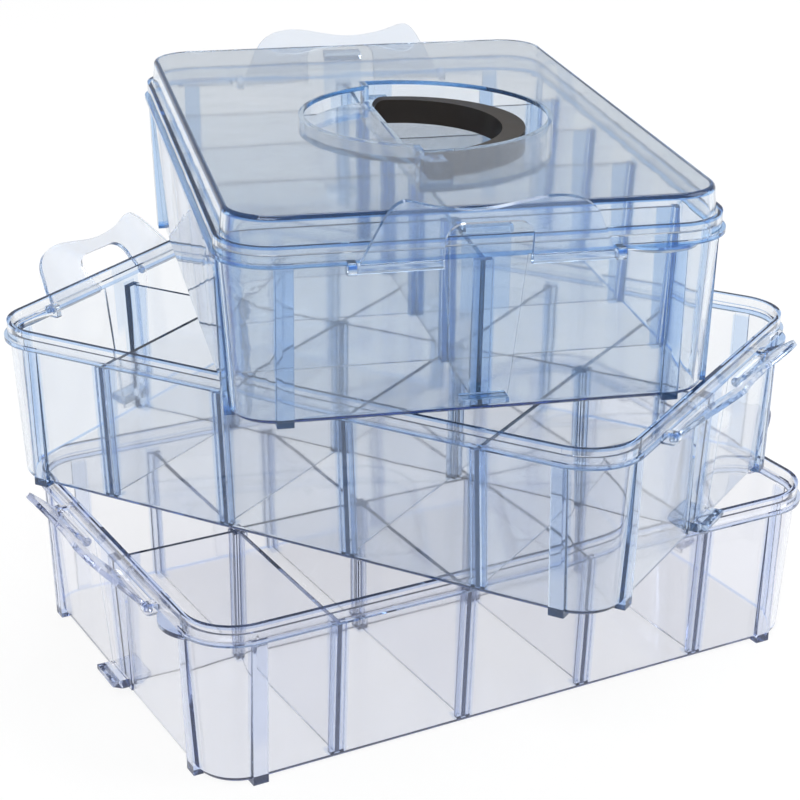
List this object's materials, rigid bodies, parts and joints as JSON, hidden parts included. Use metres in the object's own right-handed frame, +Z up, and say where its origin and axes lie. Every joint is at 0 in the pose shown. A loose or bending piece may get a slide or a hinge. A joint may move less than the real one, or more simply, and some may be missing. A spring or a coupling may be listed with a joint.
{
  "type": "compartment storage box",
  "caption": "Clear blue plastic box of stacking divided trays, fanned open, with wing latches on the short sides and a flat lid with a folding carry handle.",
  "frame": {"origin": "centre of the underside of the bottom tray, on the surface it stands on", "axes": "X along the bottom tray's long side, Y along its short side, Z up"},
  "size_m": [0.2832, 0.2982, 0.195],
  "materials": {
    "clear_bottom": "clear, faint lavender tint",
    "clear_middle": "clear, pale blue tint",
    "clear_top": "clear, blue tint",
    "handle_black": "dark satin"
  },
  "bodies": {
    "bottom": {"bottom_tray": "clear_bottom", "bottom_divider_1": "clear_bottom", "bottom_divider_2": "clear_bottom", "bottom_divider_3": "clear_bottom", "bottom_divider_4": "clear_bottom", "bottom_divider_5": "clear_bottom", "bottom_divider_6": "clear_bottom", "bottom_divider_7": "clear_bottom", "bottom_divider_8": "clear_bottom"},
    "middle": {"middle_tray": "clear_middle", "middle_divider_1": "clear_middle", "middle_divider_2": "clear_middle", "middle_divider_3": "clear_middle", "middle_divider_4": "clear_middle", "middle_divider_5": "clear_middle", "middle_divider_6": "clear_middle", "middle_divider_7": "clear_middle", "middle_divider_8": "clear_middle"},
    "top": {"top_tray": "clear_top", "top_divider_1": "clear_top", "top_divider_2": "clear_top", "top_divider_3": "clear_top", "top_divider_4": "clear_top", "top_divider_5": "clear_top", "top_divider_6": "clear_top", "top_divider_7": "clear_top", "top_divider_8": "clear_top"},
    "bottom_left_wing": {"bottom_left_wing": "clear_bottom"},
    "bottom_right_wing": {"bottom_right_wing": "clear_bottom"},
    "middle_left_wing": {"middle_left_wing": "clear_middle"},
    "middle_right_wing": {"middle_right_wing": "clear_middle"},
    "top_front_wing": {"top_front_wing": "clear_top"},
    "top_back_wing": {"top_back_wing": "clear_top"},
    "lid": {"lid": "clear_top"},
    "handle": {"handle": "handle_black"}
  },
  "joints": [
    {"name": "middle_tray_lift", "type": "slide", "parent": "bottom", "child": "middle", "axis": [0, 0, 1], "range_m": [0, 0.08]},
    {"name": "top_tray_lift", "type": "slide", "parent": "middle", "child": "top", "axis": [0, 0, 1], "range_m": [0, 0.08]},
    {"name": "lid_lift", "type": "slide", "parent": "top", "child": "lid", "axis": [0, 0, 1], "range_m": [0, 0.06]},
    {"name": "bottom_left_wing_hinge", "type": "hinge", "parent": "bottom", "child": "bottom_left_wing", "pos_m": [-0.1251, 0, 0.0526], "axis": [0, -1, 0], "range_deg": [-45, 65]},
    {"name": "bottom_right_wing_hinge", "type": "hinge", "parent": "bottom", "child": "bottom_right_wing", "pos_m": [0.1251, 0, 0.0526], "axis": [0, 1, 0], "range_deg": [-45, 65]},
    {"name": "middle_left_wing_hinge", "type": "hinge", "parent": "middle", "child": "middle_left_wing", "pos_m": [-0.07213, 0.11313, 0.1127], "axis": [-0.8443, -0.5358, 0], "range_deg": [0, 70]},
    {"name": "middle_right_wing_hinge", "type": "hinge", "parent": "middle", "child": "middle_right_wing", "pos_m": [0.06193, -0.09813, 0.1127], "axis": [0.8443, 0.5358, 0], "range_deg": [-50, 60]},
    {"name": "top_front_wing_hinge", "type": "hinge", "parent": "top", "child": "top_front_wing", "pos_m": [-0.0289, -0.09452, 0.1728], "axis": [0.9578, -0.2874, 0], "range_deg": [-12, 98]},
    {"name": "top_back_wing_hinge", "type": "hinge", "parent": "top", "child": "top_back_wing", "pos_m": [0.043, 0.14512, 0.1728], "axis": [-0.9578, 0.2874, 0], "range_deg": [-12, 98]},
    {"name": "handle_fold", "type": "hinge", "parent": "lid", "child": "handle", "pos_m": [0.00849, 0.02487, 0.1802], "axis": [-0.2874, -0.9578, 0], "range_deg": [0, 95]}
  ]
}
